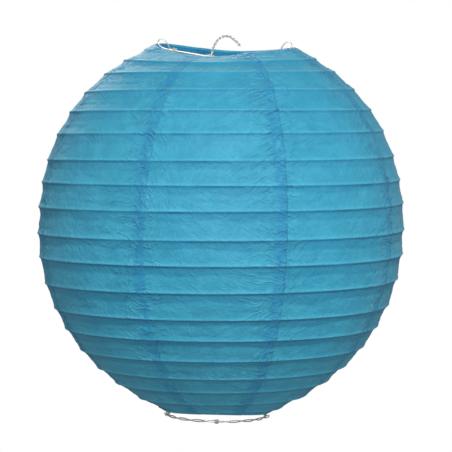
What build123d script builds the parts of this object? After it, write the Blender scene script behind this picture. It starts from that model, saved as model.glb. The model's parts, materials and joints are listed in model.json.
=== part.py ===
from build123d import *

import os
from math import cos, exp, hypot, pi, radians, sin, tan

# Round hanging paper lantern: a folding paper shade on a helical rib wire, held open by a wire expander.
# Millimetres, +Z up, +X to the right seen from the front (-Y). The origin is the bearing point under the
# top of the hook. Heights named below are measured from the middle of the shade and shifted by at().

os.makedirs("parts", exist_ok=True)

# Shade: a round of revolution, a little squarer above its equator than below it
SHADE_R = 150
UPPER_HEIGHT = 157
UPPER_POWER = 2.2
LOWER_HEIGHT = 152
LOWER_POWER = 2.0
TOP_START_Z = 148.5
BOTTOM_END_Z = -146.2

# Rims: the expander pulls each wire ring into a saddle, highest at the ears, lowest at the feet,
# and the upper one leans forwards and bulges up a little to the right of its front
TOP_RIM_X = 56.6
TOP_RIM_Y = 51
TOP_RIM_Z = 147.8
TOP_RIM_SADDLE = 3.2
TOP_RIM_TILT = 4.6
TOP_RIM_SKEW = -1.2
TOP_RIM_BULGE = 2.2
BULGE_AZIMUTH = radians(-66)
BULGE_SHARPNESS = 12
BOTTOM_RIM_X = 41
BOTTOM_RIM_Y = 45
BOTTOM_RIM_Z = -148.25
BOTTOM_RIM_SADDLE = -1.75
RIM_REACH = 70

# Paper gores, each lapped over the next one
GORE_COUNT = 8
GORE_ANGLE = 360 / GORE_COUNT
FIRST_SEAM = -117.8
LAP_WIDTH = 13
GORE_SECTIONS = 5
GORE_OUTLINE_POINTS = 16
PAPER = 0.25
LAP_LIFT = 0.45
CLEARANCE = 0.1

# Wires
WIRE_BEND = 0.45
RIB_WIRE_R = 0.4
RIM_WIRE_R = 0.6
FRAME_WIRE_R = 0.55
STRAND_R = 0.5
RIB_PITCH = 20.6
RIB_FRONT_S = 188.5
RIB_START_S = 10
RIB_END_S = 374
RIB_POINTS_PER_TURN = 12
RIB_WAVES = [(0.9, 9.3, 0), (0.6, 21, 2)]
RIM_POINTS = 32

# Expander
HOOK_APEX_Z = 158.7
HOOK_POINTS = [(-11.6, 141.5), (-8.8, 150.2), (-5.8, 155.4), (0, HOOK_APEX_Z), (6.6, 156.4), (12.6, 150.4)]
BAR_MIDDLE_Z = 139.8
EAR_NECK_X = 44.7
EAR_NECK_Z = 146.4
EAR_LENGTH = 12.1
EAR_WIDTH = 6.4
EAR_RISE = 40
EAR_TAIL = 7
EAR_SHAPE = [(0.45, 0.42), (0.8, 0.5), (1, 0.22), (1, -0.22), (0.8, -0.5), (0.45, -0.42)]
LEG_X = 37.6
SHOULDER_Z = 116
LEG_TOP = [(47.5, 144.2), (52, 145.4), (55.4, 148.4), (57.1, 147.9), (57.1, 144.5)]
LEG_ANKLE = [(0, -143.4), (3.6, -146.4), (0.1, -149.4)]
LEG_COIL_TURNS = 2.75
LEG_COIL_INSET = 2
FOOT_START = 170
FOOT_END = 370
FOOT_STEP = 40
BASE_RING_R = 41
BASE_RING_Z = -152.2
BASE_RING_TWISTS = 9
RING_STRAND_GAP = 0.6
RING_START = -89.7
RING_SWEEP = 359.4
SPLICE_WIRE_R = 0.3
SPLICE_TURNS = 4
HOOK_STRAND_GAP = 0.25
HOOK_TWISTS = 6
HOOK_COIL_TURNS = 2.5
COIL_POINTS_PER_TURN = 8
BEARING_Z = HOOK_APEX_Z - 2 * STRAND_R - HOOK_STRAND_GAP / 2


def at(x, y, z):
    """A point given by its height from the middle of the shade."""
    return Vector(x, y, z - BEARING_Z)


# The shade's surface, by arc length s down a meridian from the top rim


def meridian():
    """Points (s, r, z) down the shade's outline, close enough together to interpolate between."""
    steps = 1500
    points = []
    s = 0
    for i in range(steps + 1):
        z = TOP_START_Z + (BOTTOM_END_Z - TOP_START_Z) * i / steps
        height, power = (UPPER_HEIGHT, UPPER_POWER) if z > 0 else (LOWER_HEIGHT, LOWER_POWER)
        r = SHADE_R * (1 - (abs(z) / height) ** power) ** (1 / power)
        if points:
            s += hypot(r - points[-1][1], z - points[-1][2])
        points.append((s, r, z))
    return points


MERIDIAN = meridian()
MERIDIAN_LENGTH = MERIDIAN[-1][0]


def outline(s):
    """Radius and height of the outline at arc length s."""
    low, high = 0, len(MERIDIAN) - 1
    while high - low > 1:
        middle = (low + high) // 2
        if MERIDIAN[middle][0] > s:
            high = middle
        else:
            low = middle
    s0, r0, z0 = MERIDIAN[low]
    s1, r1, z1 = MERIDIAN[high]
    share = (s - s0) / (s1 - s0)
    return r0 + (r1 - r0) * share, z0 + (z1 - z0) * share


def oval(azimuth, x_radius, y_radius):
    """Radius of an ellipse in the direction of an azimuth."""
    return 1 / hypot(cos(azimuth) / x_radius, sin(azimuth) / y_radius)


def top_rim(azimuth):
    z = TOP_RIM_Z + TOP_RIM_SADDLE * cos(2 * azimuth) + TOP_RIM_SKEW * sin(2 * azimuth)
    z += TOP_RIM_TILT * sin(azimuth)
    z += TOP_RIM_BULGE * exp(BULGE_SHARPNESS * (cos(azimuth - BULGE_AZIMUTH) - 1))
    return oval(azimuth, TOP_RIM_X, TOP_RIM_Y), z


def bottom_rim(azimuth):
    z = BOTTOM_RIM_Z + BOTTOM_RIM_SADDLE * cos(2 * azimuth)
    return oval(azimuth, BOTTOM_RIM_X, BOTTOM_RIM_Y), z


def meridian_point(s, azimuth):
    """Radius and height of the shade's surface: its outline, drawn to the two saddle-shaped rims."""
    r, z = outline(s)
    for rim, end in ((top_rim, 0), (bottom_rim, MERIDIAN_LENGTH)):
        reach = 1 - abs(s - end) / RIM_REACH
        if reach > 0:
            rim_r, rim_z = rim(azimuth)
            end_r, end_z = outline(end)
            r += (rim_r - end_r) * reach**2
            z += (rim_z - end_z) * reach**2
    return r, z


def offset_rz(s, azimuth, outwards):
    """Radius and height of a point off the shade's surface, square to the meridian."""
    step = 0.5
    r, z = meridian_point(s, azimuth)
    r0, z0 = meridian_point(max(s - step, 0), azimuth)
    r1, z1 = meridian_point(min(s + step, MERIDIAN_LENGTH), azimuth)
    length = hypot(r1 - r0, z1 - z0)
    return r + outwards * (z0 - z1) / length, z + outwards * (r1 - r0) / length


def offset_point(s, azimuth, outwards):
    """The same point in the part's frame."""
    r, z = offset_rz(s, azimuth, outwards)
    return at(r * cos(azimuth), r * sin(azimuth), z)


# Wires


def bend_radii(points):
    """The radius of each bend: as large as the shorter run beside it allows."""
    radii = []
    for i in range(1, len(points) - 1):
        before = points[i] - points[i - 1]
        after = points[i + 1] - points[i]
        turn = radians(before.get_angle(after))
        radii.append(WIRE_BEND * min(before.length, after.length) / tan(turn / 2))
    return radii


def drawn_wire(points, wire_r):
    """A round wire along straight runs joined by tangent bends."""
    with BuildPart() as wire:
        with BuildLine() as path:
            FilletPolyline(*points, radius=bend_radii(points))
        with BuildSketch(Plane(origin=path.line @ 0, z_dir=path.line % 0)):
            Circle(wire_r)
        sweep(path=path.wires()[0])
    return wire.part


def strand_point(path, across, share, angle, reach):
    """A point beside a flat path: reach out from it, angle round it, across being square to its plane."""
    sideways = (path % share).cross(across)
    return path @ share + (across * cos(angle) + sideways * sin(angle)) * reach


def coil(centre, along, side, reach, pitch, turns, first_angle=0):
    """Points of a coil round a straight axis; side is square to the axis and gives angle 0."""
    other = along.cross(side)
    points = []
    for i in range(round(turns * COIL_POINTS_PER_TURN) + 1):
        turned = i / COIL_POINTS_PER_TURN
        angle = first_angle + 2 * pi * turned
        points.append(centre + along * (pitch * turned) + (side * cos(angle) + other * sin(angle)) * reach)
    return points


def write(part, name):
    part.label = name
    export_step(part, f"parts/{name}.step")
    print(name, round(part.volume, 1), part.is_valid)


def make_gore(number):
    """One paper gore: a thin curved strip from rim to rim, whose far edge laps over the next gore."""
    half_lap = LAP_WIDTH / 2 / SHADE_R
    first = radians(FIRST_SEAM + GORE_ANGLE * (number - 1)) - half_lap
    span = radians(GORE_ANGLE) + 2 * half_lap
    with BuildPart() as gore:
        for i in range(GORE_SECTIONS + 1):
            azimuth = first + span * i / GORE_SECTIONS
            lift = LAP_LIFT * (azimuth - first) / radians(GORE_ANGLE)
            outer, inner = [], []
            for j in range(GORE_OUTLINE_POINTS + 1):
                s = MERIDIAN_LENGTH * j / GORE_OUTLINE_POINTS
                outer.append(offset_rz(s, azimuth, lift))
                inner.append(offset_rz(s, azimuth, lift - PAPER))
            radial, tangent = (cos(azimuth), sin(azimuth), 0), (sin(azimuth), -cos(azimuth), 0)
            with BuildSketch(Plane(origin=at(0, 0, 0), x_dir=radial, z_dir=tangent)):
                with BuildLine():
                    Spline(outer)
                    Spline(inner)
                    Line(outer[0], inner[0])
                    Line(outer[-1], inner[-1])
                make_face()
        loft()
    write(gore.part, f"gore_{number}")


def wander(s):
    """How far the rib strays from even turns: waves of a height, a length over 2 pi and a phase."""
    return sum(height * sin(s / length + phase) for height, length, phase in RIB_WAVES)


def make_rib_wire():
    """The one long helical wire that every gore is pasted to, rising anticlockwise seen from above."""
    inwards = PAPER + CLEARANCE + RIB_WIRE_R
    turns = (RIB_END_S - RIB_START_S) / RIB_PITCH
    count = round(turns * RIB_POINTS_PER_TURN)
    points = []
    for i in range(count + 1):
        s = RIB_END_S + (RIB_START_S - RIB_END_S) * i / count
        azimuth = -pi / 2 + 2 * pi * (RIB_FRONT_S - s) / RIB_PITCH
        points.append(offset_point(s + wander(s), azimuth, -inwards))
    write(drawn_wire(points, RIB_WIRE_R), "rib_wire")


def make_rim_wire(name, s):
    """A wire ring inside the paper's folded edge, its two ends butted together at the back."""
    inwards = PAPER + 2 * CLEARANCE + RIM_WIRE_R
    gap = CLEARANCE / BOTTOM_RIM_Y
    points = []
    for i in range(RIM_POINTS + 1):
        azimuth = pi / 2 + gap / 2 + (2 * pi - gap) * i / RIM_POINTS
        points.append(offset_point(s, azimuth, -inwards))
    write(drawn_wire(points, RIM_WIRE_R), name)


def bar_point(x, y=0):
    """A point on the expander's top bar, a shallow V between the two ears' necks."""
    return at(x, y, BAR_MIDDLE_Z + (EAR_NECK_Z - BAR_MIDDLE_Z) * abs(x) / EAR_NECK_X)


def ear_points():
    """The right ear, from its neck round the teardrop loop and back to the neck, with the tail behind."""
    outwards = Vector(cos(radians(EAR_RISE)), 0, sin(radians(EAR_RISE)))
    sideways = Vector(outwards.Z, 0, -outwards.X)
    neck = bar_point(EAR_NECK_X)
    tail_y = 2 * FRAME_WIRE_R + CLEARANCE
    loop = [neck + outwards * (EAR_LENGTH * out) + sideways * (EAR_WIDTH * side) for out, side in EAR_SHAPE]
    return [neck, *loop, bar_point(EAR_NECK_X, tail_y), bar_point(EAR_NECK_X - EAR_TAIL, tail_y)]


def make_top_bar():
    """The bar across the mouth, ending in the two ears that sit over the top rim."""
    right = ear_points()
    left = [Vector(-p.X, p.Y, p.Z) for p in reversed(right)]
    write(drawn_wire([*left, bar_point(0), *right], FRAME_WIRE_R), "top_bar")


def make_hook_strand(name, side):
    """One of the hook's two twisted strands: a coil round the bar, then up, over the top and down."""
    with BuildLine() as arch:
        Spline([at(x, 0, z) for x, z in HOOK_POINTS])
    path = arch.line
    across = Vector(0, side, 0)
    reach = STRAND_R + HOOK_STRAND_GAP / 2
    count = HOOK_TWISTS * COIL_POINTS_PER_TURN
    first = COIL_POINTS_PER_TURN // 2
    strand = []
    for i in range(first, count + 1):
        angle = 2 * pi * (i - first) / COIL_POINTS_PER_TURN
        strand.append(strand_point(path, across, i / count, angle, reach))

    coil_r = FRAME_WIRE_R + STRAND_R + 4 * CLEARANCE
    along = (bar_point(-EAR_NECK_X) - bar_point(0)).normalized() * side
    base = path @ 0 + along * (STRAND_R - CLEARANCE)
    wraps = coil(base, along, across, coil_r, 2 * STRAND_R + CLEARANCE, HOOK_COIL_TURNS)
    write(drawn_wire([*reversed(wraps), *strand], STRAND_R), name)


def make_leg(name, side):
    """A leg: wrapped on the ear's neck, out under the top rim, then down to a hook on the base ring."""
    tail_y = 2 * FRAME_WIRE_R + CLEARANCE
    neck = bar_point(EAR_NECK_X - EAR_TAIL + LEG_COIL_INSET, tail_y / 2)
    along = (bar_point(EAR_NECK_X) - bar_point(0)).normalized()
    reach = tail_y / 2 + 2 * FRAME_WIRE_R + CLEARANCE
    wraps = coil(neck, along, Vector(0, 1, 0), reach, 2 * FRAME_WIRE_R + CLEARANCE, LEG_COIL_TURNS)

    shank = [(LEG_X, SHOULDER_Z), *[(LEG_X + x, z) for x, z in LEG_ANKLE]]
    foot_r = 2 * STRAND_R + RING_STRAND_GAP / 2 + FRAME_WIRE_R + 2 * CLEARANCE
    foot = []
    for degrees_round in range(FOOT_START, FOOT_END + FOOT_STEP, FOOT_STEP):
        angle = radians(degrees_round)
        foot.append((BASE_RING_R + foot_r * cos(angle), BASE_RING_Z + foot_r * sin(angle)))
    points = [*wraps, *[at(x, 0, z) for x, z in [*LEG_TOP, *shank, *foot]]]
    write(drawn_wire([Vector(side * p.X, p.Y, p.Z) for p in points], FRAME_WIRE_R), name)


def make_ring_strand(name, phase):
    """One of the base ring's two loosely twisted strands."""
    with BuildLine() as circle:
        CenterArc(at(0, 0, BASE_RING_Z), BASE_RING_R, RING_START, RING_SWEEP)
    count = BASE_RING_TWISTS * COIL_POINTS_PER_TURN
    reach = STRAND_R + RING_STRAND_GAP / 2
    points = []
    for i in range(count + 1):
        angle = 2 * pi * BASE_RING_TWISTS * i / count + phase
        points.append(strand_point(circle.line, Vector(0, 0, 1), i / count, angle, reach))
    write(drawn_wire(points, STRAND_R), name)


def make_ring_splice():
    """The short wrap of thin wire that ties the base ring's strands together at the front."""
    pitch = 2 * SPLICE_WIRE_R + CLEARANCE
    reach = 2 * STRAND_R + RING_STRAND_GAP / 2 + SPLICE_WIRE_R + CLEARANCE
    start = at(-SPLICE_TURNS * pitch / 2, -BASE_RING_R, BASE_RING_Z)
    wraps = coil(start, Vector(1, 0, 0), Vector(0, 0, 1), reach, pitch, SPLICE_TURNS)
    write(drawn_wire(wraps, SPLICE_WIRE_R), "ring_splice")


for number in range(1, GORE_COUNT + 1):
    make_gore(number)
make_rib_wire()
make_rim_wire("top_rim_wire", RIM_WIRE_R)
make_rim_wire("bottom_rim_wire", MERIDIAN_LENGTH - RIM_WIRE_R)
make_top_bar()
make_hook_strand("hook_strand_rear", 1)
make_hook_strand("hook_strand_front", -1)
make_leg("right_leg", 1)
make_leg("left_leg", -1)
make_ring_strand("base_ring_strand_1", 0)
make_ring_strand("base_ring_strand_2", pi)
make_ring_splice()
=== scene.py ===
import json
import math

import bpy
import numpy as np
from mathutils import Matrix, Vector, noise


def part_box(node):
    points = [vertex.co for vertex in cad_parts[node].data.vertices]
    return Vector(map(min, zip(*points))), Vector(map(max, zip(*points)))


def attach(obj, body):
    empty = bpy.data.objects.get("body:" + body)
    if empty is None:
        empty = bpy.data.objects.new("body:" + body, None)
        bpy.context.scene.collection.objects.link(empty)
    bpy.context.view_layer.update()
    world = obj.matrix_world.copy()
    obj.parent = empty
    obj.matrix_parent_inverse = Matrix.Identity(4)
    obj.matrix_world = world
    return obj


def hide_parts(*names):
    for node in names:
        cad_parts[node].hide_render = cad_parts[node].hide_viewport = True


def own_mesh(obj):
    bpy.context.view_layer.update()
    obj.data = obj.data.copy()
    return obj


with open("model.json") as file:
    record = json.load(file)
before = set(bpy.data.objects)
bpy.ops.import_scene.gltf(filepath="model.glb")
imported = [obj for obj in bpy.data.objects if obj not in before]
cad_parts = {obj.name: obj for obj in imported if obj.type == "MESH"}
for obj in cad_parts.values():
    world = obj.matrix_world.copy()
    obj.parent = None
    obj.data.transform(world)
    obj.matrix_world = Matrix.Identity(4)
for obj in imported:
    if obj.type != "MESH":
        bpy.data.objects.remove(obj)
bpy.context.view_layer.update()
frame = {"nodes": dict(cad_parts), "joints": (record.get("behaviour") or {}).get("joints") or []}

# Round hanging paper lantern: tissue-paper gores on a helical rib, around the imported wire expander.
# Lengths are in metres, and named heights are measured from the middle of the shade.

# Shade outline, a little squarer above its equator than below it
SHADE_R = 0.150
UPPER_HEIGHT = 0.157
UPPER_POWER = 2.2
LOWER_HEIGHT = 0.152
LOWER_POWER = 2.0
TOP_START_Z = 0.1485
BOTTOM_END_Z = -0.1462

# Rims: ovals pulled into saddles by the expander, the upper one also tilted, skewed and bulged
TOP_RIM = {"x": 0.0566, "y": 0.051, "z": 0.1478,
           "saddle": 0.0032, "tilt": 0.0046, "skew": -0.0012, "bulge": 0.0022}
BOTTOM_RIM = {"x": 0.041, "y": 0.045, "z": -0.14825,
              "saddle": -0.00175, "tilt": 0, "skew": 0, "bulge": 0}
BULGE_AZIMUTH = math.radians(-66)
BULGE_SHARPNESS = 12
RIM_REACH = 0.070

# The shade's middle is known from the base ring, which lies this far below it
BASE_RING_DROP = 0.1522
RING_LOW, RING_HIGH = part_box("base_ring_strand_1")
SHADE_Z = (RING_LOW[2] + RING_HIGH[2]) / 2 + BASE_RING_DROP

# Gores, their laps and the helical rib
GORE_COUNT = 8
GORE_ANGLE = 2 * math.pi / GORE_COUNT
FIRST_SEAM = math.radians(-117.8)
FIRST_SEAM_SHIFT = math.radians(2.4)
LAP_WIDTH = 0.013
LAP_LIFT = 0.0002
PAPER = 0.00012
RIB_PITCH = 0.0206
RIB_FRONT_S = 0.1885
RIB_START_S = 0.010
RIB_END_S = 0.374
RIB_TURNS = range(-12, 14)
RIB_STRAY = 0.0009
RIB_STRAY_LENGTH = 0.0093
RIB_DRIFT = 0.0006
RIB_DRIFT_LENGTH = 0.021
RIB_DRIFT_START = 2
FAR = 1.0
RIB_WIRE_R = 0.0004
RIB_WIRE_DEPTH = 0.00075
RIM_WIRE_R = 0.0006
RIM_WIRE_DEPTH = 0.00105
HEM = 0.008

# The paper's turned edge, before and after it bends round the rim wire: arc length and offset
HEM_OUTSIDE = [(0.0022, -0.00005), (0.0014, -0.00012)]
HEM_INSIDE = [(0.0018, -0.0014), (0.003, -0.00055), (0.0045, -0.00045), (0.0062, -0.00045), (HEM, -0.00045)]
HEM_SLACK = 0.0001
HEM_BEND_STEPS = 6

# Ledges: how far the paper stands in beside a rib, and how soon
LEDGE_ABOVE = 0.0005
LEDGE_ABOVE_WIDTH = 0.0013
LEDGE_BELOW = 0.0009
LEDGE_BELOW_WIDTH = 0.0010

# Creases between two ribs, placed by their share of the way down
CREASE_DEPTH = 0.0010
CREASE_SHARE = 0.36
CREASE_STRAY = 0.17
SECOND_DEPTH = 0.0007
SECOND_SHARE = 0.7
SECOND_STRAY = 0.16
SECOND_WIDTH = 0.055

# Wrinkles, which die out where the paper is pasted and grow near the seams
WRINKLE_DEPTH = 0.00035
PASTED = 0.004
SEAM_REACH = 0.17

# Near the rims the paper lies flat
RIM_FLAT = 0.004
RIM_FADE = 0.012
LEDGE_FLAT = 0.003
LEDGE_FADE = 0.006

# Painted shade in dark lines under the ribs and on the upper part of each band, weaker towards the top, and
# painted highlights on the ribs' crests
FOLD_DARKNESS = 0.40
FOLD_EDGE_SHARE = 0.04
FOLD_START = 0.0008
SECOND_DARKNESS = 0.3
LINE_DARKNESS = 0.8
LINE_DROP = 0.0011
LINE_WIDTH = 0.0008
CREST_ABOVE = 0.0016
CREST_BELOW = 0.0003
STEEP_START_S = 0.11
STEEP_LENGTH = 0.13

# Noises in the paper's shape: the size of their lumps, a seed that keeps them apart, and octaves
TIGHTNESS_NOISE = (0.03, 9)
CREASE_PLACE_NOISE = (0.05, 3)
CREASE_DEPTH_NOISE = (0.045, 5)
SECOND_PLACE_NOISE = (0.07, 13)
SECOND_DEPTH_NOISE = (0.05, 15)
WRINKLE_NOISE = (0.008, 7, 3)
SLANTED_NOISE = (0.005, 11)
CREST_NOISE = (0.03, 17)

# Mesh density: columns across a gore, and rows down a band as shares of the way between two ribs
GORE_COLUMNS = 88
BAND_STEPS = [0, 0.025, 0.05, 0.08, 0.13, 0.19, 0.25, 0.31, 0.36, 0.41,
              0.47, 0.54, 0.61, 0.69, 0.77, 0.84, 0.9, 0.94, 0.97]
END_BAND_STEPS = 26
END_BAND_START = 0.1
RIB_POINTS_A_TURN = 48
RIM_POINTS = 128
RIM_ROOM = 0.003
LINE_ROOM = 0.0015
LINE_SPARE_ANGLE = 0.15
RIB_END_SLACK = 0.002

# Folding: the joint's travel, and the share of its height the shade would keep, flattened against the top
# rim as the bottom rim rises
FOLD_JOINT = "shade_fold"
FOLD_TRAVEL = next(joint for joint in frame["joints"] if joint["name"] == FOLD_JOINT)["range_m"][1]
FOLD_ANCHOR_Z = 0.149
FOLD_KEEP = 1 - FOLD_TRAVEL / (FOLD_ANCHOR_Z - BOTTOM_RIM["z"])


# The shade's surface, by arc length s down a meridian and by azimuth


def outline_samples():
    """Arc length, radius and height down the shade's outline."""
    z = np.linspace(TOP_START_Z, BOTTOM_END_Z, 6001)
    upper = SHADE_R * (1 - (np.abs(z) / UPPER_HEIGHT) ** UPPER_POWER) ** (1 / UPPER_POWER)
    lower = SHADE_R * (1 - (np.abs(z) / LOWER_HEIGHT) ** LOWER_POWER) ** (1 / LOWER_POWER)
    r = np.where(z > 0, upper, lower)
    s = np.concatenate([[0], np.cumsum(np.hypot(np.diff(r), np.diff(z)))])
    return s, r, z


OUTLINE_S, OUTLINE_R, OUTLINE_Z = outline_samples()
LENGTH = float(OUTLINE_S[-1])


def meridian(s, azimuth):
    """Radius and height of the surface: the outline, drawn to the two saddle-shaped rims near its ends."""
    r = np.interp(s, OUTLINE_S, OUTLINE_R)
    z = np.interp(s, OUTLINE_S, OUTLINE_Z)
    for rim, end, end_r, end_z in (
        (TOP_RIM, 0, OUTLINE_R[0], TOP_START_Z),
        (BOTTOM_RIM, LENGTH, OUTLINE_R[-1], BOTTOM_END_Z),
    ):
        reach = np.clip(1 - np.abs(s - end) / RIM_REACH, 0, 1) ** 2
        rim_r = 1 / np.hypot(np.cos(azimuth) / rim["x"], np.sin(azimuth) / rim["y"])
        rim_z = rim["z"] + rim["saddle"] * np.cos(2 * azimuth) + rim["skew"] * np.sin(2 * azimuth)
        rim_z = rim_z + rim["tilt"] * np.sin(azimuth)
        rim_z = rim_z + rim["bulge"] * np.exp(BULGE_SHARPNESS * (np.cos(azimuth - BULGE_AZIMUTH) - 1))
        r = r + (rim_r - end_r) * reach
        z = z + (rim_z - end_z) * reach
    return r, z


def place(s, azimuth, outwards):
    """Points off the surface along its normal; past either end they follow the end's slope."""
    step = 0.0005
    inside = np.clip(s, 0, LENGTH)
    r, z = meridian(inside, azimuth)
    r0, z0 = meridian(np.clip(inside - step, 0, LENGTH), azimuth)
    r1, z1 = meridian(np.clip(inside + step, 0, LENGTH), azimuth)
    length = np.hypot(r1 - r0, z1 - z0)
    along_r, along_z = (r1 - r0) / length, (z1 - z0) / length
    r = r + along_r * (s - inside) - along_z * outwards
    z = z + along_z * (s - inside) + along_r * outwards
    return np.stack([r * np.cos(azimuth), r * np.sin(azimuth), z + SHADE_Z], axis=-1)


def rib_s(turn, azimuth):
    """Arc length of the rib at an azimuth, on its numbered turn, straying a little from even turns."""
    even = RIB_FRONT_S + RIB_PITCH * (turn - (azimuth + math.pi / 2) / (2 * math.pi))
    strayed = even + RIB_STRAY * np.sin(even / RIB_STRAY_LENGTH)
    return strayed + RIB_DRIFT * np.sin(even / RIB_DRIFT_LENGTH + RIB_DRIFT_START)


def rib_gaps(s, azimuth):
    """Distances along the meridian from the rib above and to the rib below; FAR where there is none."""
    turn = (s - RIB_FRONT_S) / RIB_PITCH + (azimuth + math.pi / 2) / (2 * math.pi)
    below_rib, above_rib = np.full(np.shape(s), FAR), np.full(np.shape(s), FAR)
    for whole in (np.floor(turn) - 1, np.floor(turn), np.ceil(turn), np.ceil(turn) + 1):
        at_s = rib_s(whole, azimuth)
        there = (at_s > RIB_START_S - RIB_END_SLACK) & (at_s < RIB_END_S + RIB_END_SLACK)
        gap = s - at_s
        below_rib = np.where(there & (gap >= 0), np.minimum(below_rib, gap), below_rib)
        above_rib = np.where(there & (gap < 0), np.minimum(above_rib, -gap), above_rib)
    return below_rib, above_rib


def rough(points, scale, seed, octaves=2):
    """Smooth noise from about -1 to 1 at each point; scale is the size of its lumps."""
    shifted = points / scale + seed * 17.3
    flat = [noise.fractal(Vector(p), 0.9, 2.0, octaves) for p in shifted.reshape(-1, 3)]
    return np.array(flat).reshape(points.shape[:-1])


# Meshes


def select_only(obj):
    bpy.ops.object.select_all(action="DESELECT")
    obj.select_set(True)
    bpy.context.view_layer.objects.active = obj


def grid_object(name, points, values):
    """A sheet through a grid of points, with a number at each point for each named value."""
    rows, columns = points.shape[:2]
    mesh = bpy.data.meshes.new(name)
    index = np.arange(rows * columns).reshape(rows, columns)
    quads = np.stack([index[:-1, :-1], index[1:, :-1], index[1:, 1:], index[:-1, 1:]], axis=-1)
    mesh.from_pydata(points.reshape(-1, 3).tolist(), [], quads.reshape(-1, 4).tolist())
    mesh.update()
    for value_name, grid in values.items():
        attribute = mesh.attributes.new(value_name, "FLOAT", "POINT")
        attribute.data.foreach_set("value", np.array(grid, np.float32).ravel())
    mesh.polygons.foreach_set("use_smooth", [True] * len(mesh.polygons))
    obj = bpy.data.objects.new(name, mesh)
    bpy.context.collection.objects.link(obj)
    return obj


def give_thickness(obj, thickness):
    """Thickens a sheet on its inner side."""
    select_only(obj)
    solidify = obj.modifiers.new("Paper", "SOLIDIFY")
    solidify.thickness = thickness
    solidify.offset = -1
    bpy.ops.object.modifier_apply(modifier=solidify.name)


def tube(name, points, radius, closed=False):
    """A round wire through the points."""
    curve = bpy.data.curves.new(name, "CURVE")
    curve.dimensions = "3D"
    curve.bevel_depth = radius
    curve.bevel_resolution = 2
    curve.use_fill_caps = not closed
    spline = curve.splines.new("POLY")
    spline.points.add(len(points) - 1)
    for point, co in zip(spline.points, points):
        point.co = (*co, 1)
    spline.use_cyclic_u = closed
    obj = bpy.data.objects.new(name, curve)
    bpy.context.collection.objects.link(obj)
    select_only(obj)
    bpy.ops.object.convert(target="MESH")
    obj = bpy.context.object
    obj.data.polygons.foreach_set("use_smooth", [True] * len(obj.data.polygons))
    return obj


# Paper


def seam_azimuth(number):
    """Where a gore's first seam runs; the first seam of all was pasted a little out of its even place."""
    shift = FIRST_SEAM_SHIFT if number % GORE_COUNT == 1 else 0
    return FIRST_SEAM + GORE_ANGLE * (number - 1) + shift


def gore_lines(first, last):
    """The turns of rib that cross a whole gore clear of its hems."""
    edges = np.array([first - LINE_SPARE_ANGLE, last + LINE_SPARE_ANGLE])
    turns = []
    for turn in RIB_TURNS:
        s = rib_s(turn, edges)
        if s.min() > HEM + LINE_ROOM and s.max() < LENGTH - HEM - LINE_ROOM:
            turns.append(turn)
    return turns


def gore_rows(first, last):
    """For each row of a gore: the rib turns or rims above and below it, and its share of the way between."""
    lines = [None, *gore_lines(first, last), None]
    rows = []
    for above, below in zip(lines, lines[1:]):
        ends = above is None or below is None
        steps = [i / END_BAND_STEPS for i in range(END_BAND_STEPS)] if ends else BAND_STEPS
        rows += [(above, below, share) for share in steps]
    return [row for row in rows if row[0] is not None or row[2] > END_BAND_START]


def line_s(turn, azimuth, rim_s):
    """Arc length of a turn of rib, or of the rim where there is no turn."""
    return np.full(np.shape(azimuth), rim_s) if turn is None else rib_s(turn, azimuth)


def row_s(row, azimuth):
    """Arc length of a gore's row at each azimuth."""
    above, below, share = row
    top = line_s(above, azimuth, 0.0)
    bottom = line_s(below, azimuth, LENGTH)
    return top + (bottom - top) * share


def hem_profile(at_top):
    """Arc length and offset along the paper's turned edge: outside, round the rim wire, to the cut edge."""
    points = list(HEM_OUTSIDE)
    round_r = RIM_WIRE_R + HEM_SLACK + PAPER
    for i in range(HEM_BEND_STEPS + 1):
        angle = math.pi * i / HEM_BEND_STEPS
        points.append((RIM_WIRE_R - round_r * math.sin(angle), -RIM_WIRE_DEPTH + round_r * math.cos(angle)))
    points += HEM_INSIDE
    return points if at_top else [(LENGTH - s, offset) for s, offset in points]


def gore_span(s, first, last, across):
    """Azimuth across a gore, which is a lap wider than the way between its seams."""
    half_lap = LAP_WIDTH / 2 / np.interp(s, OUTLINE_S, OUTLINE_R)
    return first - half_lap + (last - first + 2 * half_lap) * across


def seam_closeness(azimuth):
    """1 on the middle of a lap, falling to 0 away from it."""
    gap = np.abs((azimuth - FIRST_SEAM + GORE_ANGLE / 2) % GORE_ANGLE - GORE_ANGLE / 2) / GORE_ANGLE
    return np.exp(-((gap / SEAM_REACH) ** 2))


def ledge_depth(s, below_rib, above_rib, share, tight):
    """How far the paper stands in from the ribs it is pasted to."""
    tuck = LEDGE_BELOW * tight * (1 - np.exp(-((below_rib / LEDGE_BELOW_WIDTH) ** 2)))
    ledge = np.where(below_rib < FAR, tuck * (1 - share) + LEDGE_ABOVE * share, LEDGE_ABOVE)
    rise = 1 - np.exp(-((above_rib / LEDGE_ABOVE_WIDTH) ** 2))
    ledge = np.where(above_rib < PASTED, ledge * rise, ledge)
    return ledge * np.clip((np.minimum(s, LENGTH - s) - LEDGE_FLAT) / LEDGE_FADE, 0, 1)


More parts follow.
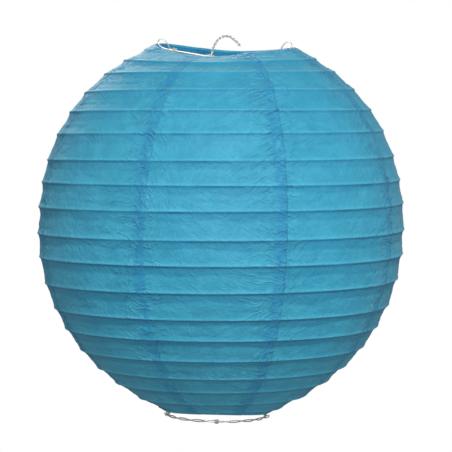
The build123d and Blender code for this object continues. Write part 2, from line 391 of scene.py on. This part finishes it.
def band_shape(s, azimuth):
    """How far the paper stands off its surface, and how much painted shade and painted highlight each point
    gets.

    From each rib the paper tucks in sharply, falls back to a crease and comes out again to the next rib.
    """
    flat = place(s, azimuth, 0)
    below_rib, above_rib = rib_gaps(s, azimuth)
    band = np.minimum(below_rib + above_rib, 1.5 * RIB_PITCH)
    share = np.clip(below_rib / band, 0, 1)
    from_rims = np.clip((np.minimum(s, LENGTH - s) - RIM_FLAT) / RIM_FADE, 0, 1)
    tight = 1 + 0.5 * rough(flat, *TIGHTNESS_NOISE)
    ledge = ledge_depth(s, below_rib, above_rib, share, tight)

    fold_at = CREASE_SHARE + CREASE_STRAY * rough(flat, *CREASE_PLACE_NOISE)
    fold = np.where(share < fold_at, share / fold_at, (1 - share) / (1 - fold_at))
    depth = CREASE_DEPTH * (1 + 0.7 * rough(flat, *CREASE_DEPTH_NOISE)) * from_rims
    second_at = SECOND_SHARE + SECOND_STRAY * rough(flat, *SECOND_PLACE_NOISE)
    second = np.exp(-(((share - second_at) / SECOND_WIDTH) ** 2))
    second = second * np.clip(2.4 * rough(flat, *SECOND_DEPTH_NOISE), 0, 1)

    loose = np.clip(np.minimum(below_rib, above_rib) / PASTED, 0, 1) ** 2 * np.clip(from_rims * 2, 0, 1)
    slanted = np.stack([flat[..., 0] * 0.6 + s * 0.7, flat[..., 1] * 0.6 - s * 0.5, s * 0.1], axis=-1)
    by_seams = (0.5 + 1.2 * seam_closeness(azimuth)) * rough(slanted, *SLANTED_NOISE)
    wrinkles = rough(flat, *WRINKLE_NOISE) + by_seams
    inwards = depth * fold + ledge + SECOND_DEPTH * second * from_rims
    outwards = -inwards + WRINKLE_DEPTH * loose * (wrinkles - 0.5)

    # Painted shade: the upper part of each band down to its crease, a dark line just under each rib, and a
    # strip above the second crease
    upper = np.clip((fold_at - share) / FOLD_EDGE_SHARE + 0.5, 0, 1)
    upper = upper * np.clip(below_rib / FOLD_START, 0, 1) * from_rims
    line = np.exp(-(((below_rib - LINE_DROP) / LINE_WIDTH) ** 2)) * tight
    steepness = 0.4 + 0.6 * np.clip((s - STEEP_START_S) / STEEP_LENGTH, 0, 1)
    painted_shade = FOLD_DARKNESS * upper + LINE_DARKNESS * line + SECOND_DARKNESS * second * (share < second_at)
    painted_shade = np.clip(painted_shade * steepness, 0, 1)
    # Painted highlights along the crests of the ribs
    crest_highlight = np.exp(-((above_rib / CREST_ABOVE) ** 2)) + np.exp(-((below_rib / CREST_BELOW) ** 2))
    return outwards, painted_shade, np.clip(crest_highlight * (0.8 + 0.4 * rough(flat, *CREST_NOISE)), 0, 1)


def make_gore(number):
    """One gore with its creases, wrinkles, lap and turned edges."""
    first, last = seam_azimuth(number), seam_azimuth(number + 1)
    across = np.linspace(0, 1, GORE_COLUMNS + 1)
    lift = LAP_LIFT * across * (GORE_ANGLE + LAP_WIDTH / SHADE_R) / GORE_ANGLE
    grid, lap_grid, under_grid, hem_grid, down_grid, painted_shade_grid, crest_highlight_grid = [], [], [], [], [], [], []

    def add_row(s, azimuth, outwards, painted_shade, crest_highlight):
        r = np.interp(s, OUTLINE_S, OUTLINE_R)
        left, right = gore_span(s, first, last, 0), gore_span(s, first, last, 1)
        grid.append(place(s, azimuth, outwards))
        lap_grid.append((right - azimuth) * r)
        under_grid.append((azimuth - left) * r)
        hem_grid.append(np.minimum(s, LENGTH - s))
        down_grid.append(s + RIB_PITCH * azimuth / (2 * math.pi))
        painted_shade_grid.append(painted_shade)
        crest_highlight_grid.append(crest_highlight)

    def add_hem(points):
        for s, outwards in points:
            s = np.full(len(across), s)
            side = -1 if outwards < -RIM_WIRE_DEPTH / 3 else 1
            azimuth = gore_span(np.clip(s, 0, LENGTH), first, last, across)
            add_row(s, azimuth, outwards + side * lift, 0 * lift, 0 * lift)

    add_hem(hem_profile(True)[::-1])
    for row in gore_rows(first, last):
        # The gore's width follows s, and a row's s follows the azimuth, so a few rounds settle both
        azimuth = first + (last - first) * across
        for _ in range(3):
            s = row_s(row, azimuth)
            azimuth = gore_span(s, first, last, across)
        s = row_s(row, azimuth)
        if s.min() < RIM_ROOM or s.max() > LENGTH - RIM_ROOM:
            continue
        outwards, painted_shade, crest_highlight = band_shape(s, azimuth)
        add_row(s, azimuth, outwards + lift, painted_shade, crest_highlight)
    add_hem(hem_profile(False))

    values = {"lap": lap_grid, "under": under_grid, "hem": hem_grid, "down": down_grid,
              "painted_shade": painted_shade_grid, "crest_highlight": crest_highlight_grid}
    gore = grid_object(f"paper_gore_{number}", np.array(grid), values)
    give_thickness(gore, PAPER)
    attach(gore, "expander_and_shade")
    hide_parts(f"gore_{number}")
    fold_with_shade(gore)
    return gore


def fold_with_shade(obj):
    """Gives an object a mesh of its own."""
    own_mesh(obj)


# Wires inside the paper


def make_rib():
    """The helical rib inside the paper."""
    points = []
    steps = round((RIB_END_S - RIB_START_S) / RIB_PITCH * RIB_POINTS_A_TURN)
    for i in range(steps + 1):
        s = RIB_END_S + (RIB_START_S - RIB_END_S) * i / steps
        azimuth = -math.pi / 2 + 2 * math.pi * (RIB_FRONT_S - s) / RIB_PITCH
        turn = round((s - RIB_FRONT_S) / RIB_PITCH + (azimuth + math.pi / 2) / (2 * math.pi))
        points.append(place(rib_s(turn, azimuth), azimuth, -RIB_WIRE_DEPTH))
    rib = tube("rib_helix", points, RIB_WIRE_R)
    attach(rib, "expander_and_shade")
    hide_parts("rib_wire")
    fold_with_shade(rib)
    return rib


def make_top_rim():
    """The wire in the upper turned edge."""
    azimuth = np.linspace(0, 2 * math.pi, RIM_POINTS + 1)[:-1]
    points = place(np.full(RIM_POINTS, RIM_WIRE_R), azimuth, np.full(RIM_POINTS, -RIM_WIRE_DEPTH))
    rim = tube("top_rim_ring", points, RIM_WIRE_R, closed=True)
    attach(rim, "expander_and_shade")
    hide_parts("top_rim_wire")
    fold_with_shade(rim)
    return rim


# Materials


class Value:
    """A socket, or a number, with arithmetic that adds Math nodes."""

    def __init__(self, material, socket):
        self.material = material
        self.socket = socket

    def math(self, operation, *others):
        inputs = dict(enumerate([self, *others]))
        return self.material.node("ShaderNodeMath", {"operation": operation}, inputs)

    def __add__(self, other):
        return self.math("ADD", other)

    def __sub__(self, other):
        return self.math("SUBTRACT", other)

    def __mul__(self, other):
        return self.math("MULTIPLY", other)

    def __rsub__(self, other):
        return self.material.node("ShaderNodeMath", {"operation": "SUBTRACT"}, {0: other, 1: self})

    __radd__ = __add__

    def smooth(self, low, high):
        """0 below low, 1 above high, smooth between."""
        settings = {"interpolation_type": "SMOOTHSTEP"}
        return self.material.node("ShaderNodeMapRange", settings, {0: self, 1: low, 2: high})


class Material:
    """A material whose nodes are added by one method."""

    def __init__(self, name):
        self.data = bpy.data.materials.new(name)
        self.data.use_nodes = True
        self.tree = self.data.node_tree
        self.shader = self.tree.nodes["Principled BSDF"]

    def put(self, socket, value):
        if isinstance(value, Value):
            self.tree.links.new(value.socket, socket)
        else:
            socket.default_value = value

    def node(self, kind, settings=None, inputs=None, output=0):
        made = self.tree.nodes.new(kind)
        for key, value in (settings or {}).items():
            setattr(made, key, value)
        for key, value in (inputs or {}).items():
            self.put(made.inputs[key], value)
        return Value(self, made.outputs[output])

    def set(self, **values):
        for key, value in values.items():
            self.put(self.shader.inputs[key.replace("_", " ")], value)

    def coordinates(self):
        return self.node("ShaderNodeTexCoord", output="Object")

    def attribute(self, name):
        return self.node("ShaderNodeAttribute", {"attribute_name": name}, output="Fac")

    def noise(self, scale, detail=2.0, roughness=0.5, vector=None):
        where = vector or self.coordinates()
        inputs = {"Vector": where, "Scale": scale, "Detail": detail, "Roughness": roughness}
        return self.node("ShaderNodeTexNoise", {}, inputs)

    def mix(self, factor, first, second):
        """A colour between two colours."""
        settings = {"data_type": "RGBA"}
        return self.node("ShaderNodeMix", settings, {0: factor, 6: first, 7: second}, output=2)

    def bump(self, height, strength, distance):
        inputs = {"Height": height, "Strength": strength, "Distance": distance}
        return self.node("ShaderNodeBump", {}, inputs)


# Linear colours of the paper: one layer, a painted highlight for its crests, painted shade for its folds,
# and two layers
PAPER_DEEPER = (0.020, 0.282, 0.440, 1)
PAPER_PALER = (0.032, 0.335, 0.500, 1)
PAPER_HIGHLIGHT = (0.075, 0.470, 0.640, 1)
PAPER_FOLD_SHADE = (0.002, 0.165, 0.330, 1)
PAPER_LAPPED = (0.009, 0.215, 0.430, 1)

# Distances from a gore's edge between which its seam's creases die out
BY_SEAM = (0.006, 0.034)


def crinkle(paper, across, down, slant, scale, seed):
    """Sharp lines that run one way, where crumpled tissue has been folded and smoothed out again."""
    turn = math.radians(slant)
    along = across * math.cos(turn) + down * math.sin(turn)
    square = down * math.cos(turn) - across * math.sin(turn)
    bend = paper.noise(55.0, 2.0) * 0.005
    sheet = paper.node("ShaderNodeCombineXYZ", {}, {0: along * 0.4, 1: square + bend, 2: seed * 0.1})
    lines = (paper.noise(scale, 2.0, 0.5, sheet) - 0.5).math("ABSOLUTE")
    return 1 - lines.smooth(0.0, 0.045)


def paper_material():
    """Dyed tissue paper, deeper where two layers lap, with painted shade in its folds and painted highlights
    on its crests, mottled, with fine crackle.
    """
    paper = Material("tissue_paper")
    lap_edge, under_edge = paper.attribute("lap"), paper.attribute("under")
    down, painted_shade, crest_highlight = paper.attribute("down"), paper.attribute("painted_shade"), paper.attribute("crest_highlight")
    across = under_edge + paper.noise(9.0, 1.0) * 0.08
    grain = paper.noise(900.0, 3.0, 0.6)
    crackle = paper.noise(260.0, 4.0, 0.65)
    mottle = paper.noise(60.0, 5.0, 0.65)
    patches = paper.noise(38.0, 2.0).smooth(0.40, 0.60)
    near_seam = 1 - lap_edge.smooth(*BY_SEAM) * under_edge.smooth(*BY_SEAM)
    rising = crinkle(paper, across, down, 38, 95.0, 0) + crinkle(paper, across, down, 20, 190.0, 5) * 0.6
    falling = crinkle(paper, across, down, -32, 105.0, 9) + crinkle(paper, across, down, -52, 210.0, 3) * 0.6
    crinkles = (rising * patches + falling * (1 - patches)) * (0.4 + near_seam * 0.8)

    wander = (paper.noise(90.0, 3.0) - 0.5) * 0.003
    lap = 1 - (lap_edge + wander).smooth(LAP_WIDTH * 0.45, LAP_WIDTH)
    hem = 1 - (paper.attribute("hem") + wander * 0.4).smooth(HEM - 0.0006, HEM + 0.0004)
    blotches = paper.noise(120.0, 4.0, 0.7).smooth(0.36, 0.62)
    layered = (1 - (1 - lap) * (1 - hem * 0.3)) * (0.22 + blotches * 0.6)
    single = paper.mix(mottle.smooth(0.3, 0.7), PAPER_DEEPER, PAPER_PALER)
    # Painted highlights on the ribs' crests and along the crinkles, more of them near the seams
    painted_highlight = crest_highlight * 0.6 + rising * patches * (0.12 + near_seam * 0.3)
    lit = paper.mix(painted_highlight, single, PAPER_HIGHLIGHT)
    # Painted shade in the folds and under the ribs
    fold_shaded = paper.mix(painted_shade * (0.75 + mottle * 0.5), lit, PAPER_FOLD_SHADE)
    paper.set(Base_Color=paper.mix(layered, fold_shaded, PAPER_LAPPED))
    paper.set(Roughness=0.62, Specular_IOR_Level=0.45, Sheen_Weight=0.07, Sheen_Roughness=0.5)
    height = crackle * 0.9 + grain * 0.15 + crinkles * 0.7
    paper.set(Normal=paper.bump(height, 0.9, 0.0009))
    return paper.data


def wire_material(name, colour, dull):
    """Drawn steel wire with a zinc coat that is bright in places and grey in others."""
    wire = Material(name)
    spots = wire.noise(900.0, 3.0, 0.6).smooth(0.35, 0.7)
    wire.set(Base_Color=wire.mix(spots, colour, dull))
    wire.set(Metallic=1.0, Roughness=0.32 + spots * 0.25)
    return wire.data


def dress(obj, material):
    """Gives an object one material in every slot."""
    if not obj.data.materials:
        obj.data.materials.append(material)
    for i in range(len(obj.data.materials)):
        obj.data.materials[i] = material


# Stage


def make_floor():
    """A plain pale floor well below the lantern, which doesn't tint it from underneath."""
    bpy.ops.mesh.primitive_plane_add(size=10, location=(0, 0, SHADE_Z - 1.2))
    floor = bpy.context.object
    floor.name = "floor"
    white = Material("floor_white")
    white.set(Base_Color=(0.9, 0.9, 0.9, 1), Roughness=0.9)
    white.set(Emission_Color=(1, 1, 1, 1), Emission_Strength=0.5)
    dress(floor, white.data)
    floor.visible_diffuse = False
    floor.visible_glossy = False


# Round lights: place from the middle of the shade, size and power
LIGHTS = {
    "key": ((0.25, -1.75, 1.36), 0.6, 31),
    "front": ((0.25, -2.57, 0.40), 0.9, 20),
    "left_fill": ((-1.87, -0.5, 0.7), 1.0, 9),
    "right_fill": ((1.87, -0.5, 0.7), 1.0, 8),
    "back_fill": ((-0.5, 2.1, 1.1), 1.2, 26),
    "floor_fill": ((0.1, -0.5, -1.15), 1.0, 4),
}


def make_light(name, offset, size, power):
    """A round soft light, aimed at the middle of the shade."""
    location = (offset[0], offset[1], SHADE_Z + offset[2])
    bpy.ops.object.light_add(type="AREA", location=location)
    light = bpy.context.object
    light.name = name
    light.data.shape = "DISK"
    light.data.size = size
    light.data.energy = power
    light.visible_camera = False
    aim = Vector((0, 0, SHADE_Z)) - Vector(location)
    light.rotation_euler = aim.to_track_quat("-Z", "Y").to_euler()


def make_inner_light():
    """Fill for the inside of the shade, standing in for the daylight that thin paper lets through."""
    bpy.ops.object.light_add(type="POINT", location=(0, 0, SHADE_Z))
    light = bpy.context.object
    light.name = "inner_fill"
    light.data.shadow_soft_size = 0.03
    light.data.energy = 0.45
    light.visible_camera = False


def make_camera():
    """A long lens, a little above the middle of the lantern, tipped slightly to one side."""
    elevation, distance, roll = math.radians(3.0), 1.65, math.radians(1.25)
    picture_width, sensor_width = 0.371, 36
    aim_right, aim_up = 0.0041, 0.0033
    middle = Vector((0, 0, SHADE_Z))
    away = Vector((0, -math.cos(elevation), math.sin(elevation)))
    bpy.ops.object.camera_add(location=middle + away * distance)
    camera = bpy.context.object
    right, up = Vector((1, 0, 0)), Vector((0, math.sin(elevation), math.cos(elevation)))
    target = middle + right * aim_right + up * aim_up
    look = (target - camera.location).normalized()
    right = look.cross(up).normalized()
    up = right.cross(look)
    turned_right = right * math.cos(roll) + up * math.sin(roll)
    turned_up = up * math.cos(roll) - right * math.sin(roll)
    axes = Matrix((turned_right, turned_up, -look)).transposed()
    camera.matrix_world = Matrix.Translation(camera.location) @ axes.to_4x4()
    camera.data.sensor_width = sensor_width
    camera.data.lens = sensor_width * distance / picture_width
    camera.data.clip_end = 30
    bpy.context.scene.camera = camera


def make_world():
    """A white backdrop that sheds only a little light."""
    world = bpy.data.worlds.new("studio")
    world.use_nodes = True
    nodes, links = world.node_tree.nodes, world.node_tree.links
    seen, shed = nodes["Background"], nodes.new("ShaderNodeBackground")
    seen.inputs["Color"].default_value = (1, 1, 1, 1)
    seen.inputs["Strength"].default_value = 1.0
    shed.inputs["Color"].default_value = (1, 1, 1, 1)
    shed.inputs["Strength"].default_value = 0.2
    path, mixed = nodes.new("ShaderNodeLightPath"), nodes.new("ShaderNodeMixShader")
    links.new(path.outputs["Is Camera Ray"], mixed.inputs[0])
    links.new(shed.outputs[0], mixed.inputs[1])
    links.new(seen.outputs[0], mixed.inputs[2])
    links.new(mixed.outputs[0], nodes["World Output"].inputs["Surface"])
    bpy.context.scene.world = world


bpy.context.scene.view_settings.view_transform = "Standard"
make_camera()
make_world()
make_floor()
for light_name, (offset, size, power) in LIGHTS.items():
    make_light(light_name, offset, size, power)
make_inner_light()

paper_finish = paper_material()
steel = wire_material("galvanised_wire", (0.86, 0.80, 0.68, 1), (0.52, 0.53, 0.52, 1))
rib_steel = wire_material("rib_steel", (0.6, 0.6, 0.6, 1), (0.35, 0.35, 0.36, 1))

for number in range(1, GORE_COUNT + 1):
    dress(make_gore(number), paper_finish)
dress(make_rib(), rib_steel)
dress(make_top_rim(), rib_steel)
dress(frame["nodes"]["bottom_rim_wire"], rib_steel)
for node in ("top_bar", "hook_strand_rear", "hook_strand_front", "left_leg", "right_leg",
             "base_ring_strand_1", "base_ring_strand_2", "ring_splice"):
    dress(frame["nodes"][node], steel)
